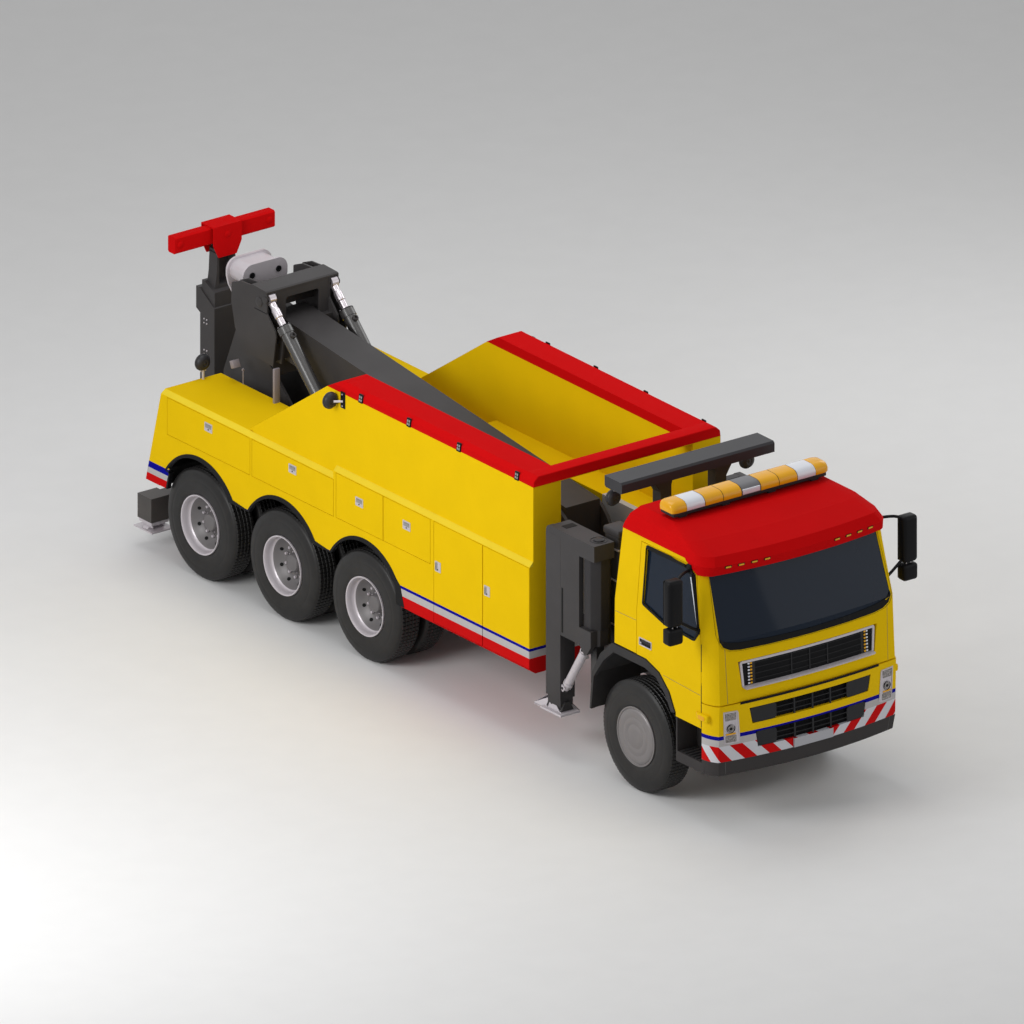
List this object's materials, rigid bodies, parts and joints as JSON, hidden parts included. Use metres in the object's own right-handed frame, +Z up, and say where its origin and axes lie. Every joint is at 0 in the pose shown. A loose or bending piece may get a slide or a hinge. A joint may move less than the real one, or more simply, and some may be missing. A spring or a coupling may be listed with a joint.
{
  "type": "heavy recovery tow truck",
  "caption": "Heavy recovery truck with a lifting boom, fold-down under-lift, swing-out stabiliser legs and lockers along both sides.",
  "frame": {"origin": "on the ground, under the middle of the whole length and width", "axes": "+Z up, the cab faces -Y, the truck's left side is +X"},
  "size_m": [3.264, 10.51, 3.3302],
  "materials": {
    "yellow_paint": "gloss two-pack paint",
    "red_paint": "gloss two-pack paint",
    "dark_paint": "satin machinery enamel",
    "chassis_paint": "satin chassis black",
    "cast_metal": "rough cast",
    "bright_steel": "ground and plated",
    "tyre_rubber": "rubber, with rims of painted steel in the same node",
    "black_plastic": "moulded grain",
    "tinted_glass": "tinted",
    "amber_lens": "clear moulded lens",
    "lamp_lens": "clear moulded lens",
    "seat_cloth": "woven cloth"
  },
  "bodies": {
    "root": {"cab_shell": "yellow_paint", "windscreen": "tinted_glass", "cab_roof": "red_paint", "grille": "black_plastic", "headlights": "lamp_lens", "front_bumper": "yellow_paint", "seats": "seat_cloth", "dashboard": "black_plastic", "roof_light_bar": "amber_lens", "front_mudguards": "black_plastic", "front_axle": "chassis_paint", "rear_axles": "chassis_paint", "engine_block": "cast_metal", "body_left": "yellow_paint", "body_right": "yellow_paint", "body_deck": "red_paint", "light_gantry": "dark_paint", "recovery_frame": "dark_paint", "chassis_frame": "chassis_paint", "work_lights": "black_plastic"},
    "boom": {"boom": "dark_paint", "sheave_block": "bright_steel"},
    "lift_barrels": {"lift_barrels": "dark_paint"},
    "lift_rods": {"lift_rods": "bright_steel"},
    "underlift_arm": {"underlift_arm": "dark_paint"},
    "underlift_slide": {"underlift_slide": "dark_paint"},
    "crossbar": {"crossbar": "red_paint"},
    "rear_legs": {"rear_legs": "bright_steel"},
    "knuckle_left": {"knuckle_left": "chassis_paint"},
    "wheel_front_left": {"wheel_front_left": "tyre_rubber"},
    "wheel_first_rear_left": {"wheel_first_rear_left": "tyre_rubber"},
    "wheel_second_rear_left": {"wheel_second_rear_left": "tyre_rubber"},
    "wheel_third_rear_left": {"wheel_third_rear_left": "tyre_rubber"},
    "door_left": {"door_left": "yellow_paint", "door_glass_left": "tinted_glass", "mirror_left": "black_plastic"},
    "locker_a_left": {"locker_a_left": "yellow_paint"},
    "locker_b_left": {"locker_b_left": "yellow_paint"},
    "locker_c_left": {"locker_c_left": "yellow_paint"},
    "locker_d_left": {"locker_d_left": "yellow_paint"},
    "locker_e_left": {"locker_e_left": "yellow_paint"},
    "locker_f_left": {"locker_f_left": "yellow_paint"},
    "outrigger_left": {"outrigger_left": "dark_paint"},
    "outrigger_leg_left": {"outrigger_leg_left": "bright_steel"},
    "knuckle_right": {"knuckle_right": "chassis_paint"},
    "wheel_front_right": {"wheel_front_right": "tyre_rubber"},
    "wheel_first_rear_right": {"wheel_first_rear_right": "tyre_rubber"},
    "wheel_second_rear_right": {"wheel_second_rear_right": "tyre_rubber"},
    "wheel_third_rear_right": {"wheel_third_rear_right": "tyre_rubber"},
    "door_right": {"door_right": "yellow_paint", "door_glass_right": "tinted_glass", "mirror_right": "black_plastic"},
    "locker_a_right": {"locker_a_right": "yellow_paint"},
    "locker_b_right": {"locker_b_right": "yellow_paint"},
    "locker_c_right": {"locker_c_right": "yellow_paint"},
    "locker_d_right": {"locker_d_right": "yellow_paint"},
    "locker_e_right": {"locker_e_right": "yellow_paint"},
    "locker_f_right": {"locker_f_right": "yellow_paint"},
    "outrigger_right": {"outrigger_right": "dark_paint"},
    "outrigger_leg_right": {"outrigger_leg_right": "bright_steel"}
  },
  "joints": [
    {"name": "steer_left", "type": "hinge", "parent": "root", "child": "knuckle_left", "pos_m": [0.85, -3.715, 0.613], "axis": [0, 0, 1], "range_deg": [-35, 35]},
    {"name": "wheel_front_left_spin", "type": "hinge", "parent": "knuckle_left", "child": "wheel_front_left", "pos_m": [1.0225, -3.715, 0.613], "axis": [1, 0, 0], "continuous": true},
    {"name": "wheel_first_rear_left_spin", "type": "hinge", "parent": "root", "child": "wheel_first_rear_left", "pos_m": [0.92, 0.923, 0.613], "axis": [1, 0, 0], "continuous": true},
    {"name": "wheel_second_rear_left_spin", "type": "hinge", "parent": "root", "child": "wheel_second_rear_left", "pos_m": [0.92, 2.36, 0.613], "axis": [1, 0, 0], "continuous": true},
    {"name": "wheel_third_rear_left_spin", "type": "hinge", "parent": "root", "child": "wheel_third_rear_left", "pos_m": [0.92, 3.797, 0.613], "axis": [1, 0, 0], "continuous": true},
    {"name": "door_left_hinge", "type": "hinge", "parent": "root", "child": "door_left", "pos_m": [1.226, -4.915, 1.9], "axis": [0, 0, -1], "range_deg": [0, 70]},
    {"name": "locker_a_left_hinge", "type": "hinge", "parent": "root", "child": "locker_a_left", "pos_m": [1.275, 3.606, 1.478], "axis": [0, 1, 0], "range_deg": [0, 90]},
    {"name": "locker_b_left_hinge", "type": "hinge", "parent": "root", "child": "locker_b_left", "pos_m": [1.275, 2.1395, 1.478], "axis": [0, 1, 0], "range_deg": [0, 90]},
    {"name": "locker_c_left_hinge", "type": "hinge", "parent": "root", "child": "locker_c_left", "pos_m": [1.275, 0.9745, 1.483], "axis": [0, 1, 0], "range_deg": [0, 90]},
    {"name": "locker_d_left_hinge", "type": "hinge", "parent": "root", "child": "locker_d_left", "pos_m": [1.275, 0.1495, 1.483], "axis": [0, 1, 0], "range_deg": [0, 90]},
    {"name": "locker_e_left_hinge", "type": "hinge", "parent": "root", "child": "locker_e_left", "pos_m": [1.275, -1.166, 1.4125], "axis": [0, 0, -1], "range_deg": [0, 90]},
    {"name": "locker_f_left_hinge", "type": "hinge", "parent": "root", "child": "locker_f_left", "pos_m": [1.275, -1.984, 1.4125], "axis": [0, 0, -1], "range_deg": [0, 90]},
    {"name": "outrigger_left_swing", "type": "hinge", "parent": "root", "child": "outrigger_left", "pos_m": [1.085, -2.925, 1.9], "axis": [0, 0, -1], "range_deg": [0, 82]},
    {"name": "outrigger_leg_left_slide", "type": "slide", "parent": "outrigger_left", "child": "outrigger_leg_left", "axis": [0, 0, -1], "range_m": [0, 0.46]},
    {"name": "steer_right", "type": "hinge", "parent": "root", "child": "knuckle_right", "pos_m": [-0.85, -3.715, 0.613], "axis": [0, 0, 1], "range_deg": [-35, 35]},
    {"name": "wheel_front_right_spin", "type": "hinge", "parent": "knuckle_right", "child": "wheel_front_right", "pos_m": [-1.0225, -3.715, 0.613], "axis": [1, 0, 0], "continuous": true},
    {"name": "wheel_first_rear_right_spin", "type": "hinge", "parent": "root", "child": "wheel_first_rear_right", "pos_m": [-0.92, 0.923, 0.613], "axis": [1, 0, 0], "continuous": true},
    {"name": "wheel_second_rear_right_spin", "type": "hinge", "parent": "root", "child": "wheel_second_rear_right", "pos_m": [-0.92, 2.36, 0.613], "axis": [1, 0, 0], "continuous": true},
    {"name": "wheel_third_rear_right_spin", "type": "hinge", "parent": "root", "child": "wheel_third_rear_right", "pos_m": [-0.92, 3.797, 0.613], "axis": [1, 0, 0], "continuous": true},
    {"name": "door_right_hinge", "type": "hinge", "parent": "root", "child": "door_right", "pos_m": [-1.226, -4.915, 1.9], "axis": [0, 0, 1], "range_deg": [0, 70]},
    {"name": "locker_a_right_hinge", "type": "hinge", "parent": "root", "child": "locker_a_right", "pos_m": [-1.275, 3.606, 1.478], "axis": [0, -1, 0], "range_deg": [0, 90]},
    {"name": "locker_b_right_hinge", "type": "hinge", "parent": "root", "child": "locker_b_right", "pos_m": [-1.275, 2.1395, 1.478], "axis": [0, -1, 0], "range_deg": [0, 90]},
    {"name": "locker_c_right_hinge", "type": "hinge", "parent": "root", "child": "locker_c_right", "pos_m": [-1.275, 0.9745, 1.483], "axis": [0, -1, 0], "range_deg": [0, 90]},
    {"name": "locker_d_right_hinge", "type": "hinge", "parent": "root", "child": "locker_d_right", "pos_m": [-1.275, 0.1495, 1.483], "axis": [0, -1, 0], "range_deg": [0, 90]},
    {"name": "locker_e_right_hinge", "type": "hinge", "parent": "root", "child": "locker_e_right", "pos_m": [-1.275, -1.166, 1.4125], "axis": [0, 0, 1], "range_deg": [0, 90]},
    {"name": "locker_f_right_hinge", "type": "hinge", "parent": "root", "child": "locker_f_right", "pos_m": [-1.275, -1.984, 1.4125], "axis": [0, 0, 1], "range_deg": [0, 90]},
    {"name": "outrigger_right_swing", "type": "hinge", "parent": "root", "child": "outrigger_right", "pos_m": [-1.085, -2.925, 1.9], "axis": [0, 0, 1], "range_deg": [0, 82]},
    {"name": "outrigger_leg_right_slide", "type": "slide", "parent": "outrigger_right", "child": "outrigger_leg_right", "axis": [0, 0, -1], "range_m": [0, 0.46]},
    {"name": "boom_lift", "type": "hinge", "parent": "root", "child": "boom", "pos_m": [0, -1.115, 1.955], "axis": [1, 0, 0], "range_deg": [0, 25]},
    {"name": "lift_barrel_pivot", "type": "hinge", "parent": "root", "child": "lift_barrels", "pos_m": [0, 1.965, 1.3], "axis": [1, 0, 0], "range_deg": [0, 34]},
    {"name": "lift_rod_slide", "type": "slide", "parent": "lift_barrels", "child": "lift_rods", "axis": [0, 0.7129, 0.7013], "range_m": [0, 1.315]},
    {"name": "underlift_fold", "type": "hinge", "parent": "root", "child": "underlift_arm", "pos_m": [0, 4.845, 0.96], "axis": [-1, 0, 0], "range_deg": [0, 90]},
    {"name": "underlift_extend", "type": "slide", "parent": "underlift_arm", "child": "underlift_slide", "axis": [0, 0, 1], "range_m": [0, 0.5]},
    {"name": "crossbar_swivel", "type": "hinge", "parent": "underlift_slide", "child": "crossbar", "pos_m": [0, 5.079, 3.222], "axis": [0, 1, 0], "range_deg": [-30, 30]},
    {"name": "rear_legs_slide", "type": "slide", "parent": "root", "child": "rear_legs", "axis": [0, 0, -1], "range_m": [0, 0.2]}
  ],
  "couplings": [
    {"joint": "steer_right", "follows": "steer_left", "ratio": 1},
    {"joint": "lift_barrel_pivot", "follows": "boom_lift", "ratio": 1.301},
    {"joint": "lift_rod_slide", "follows": "boom_lift", "m_per_rad": 2.9907}
  ]
}
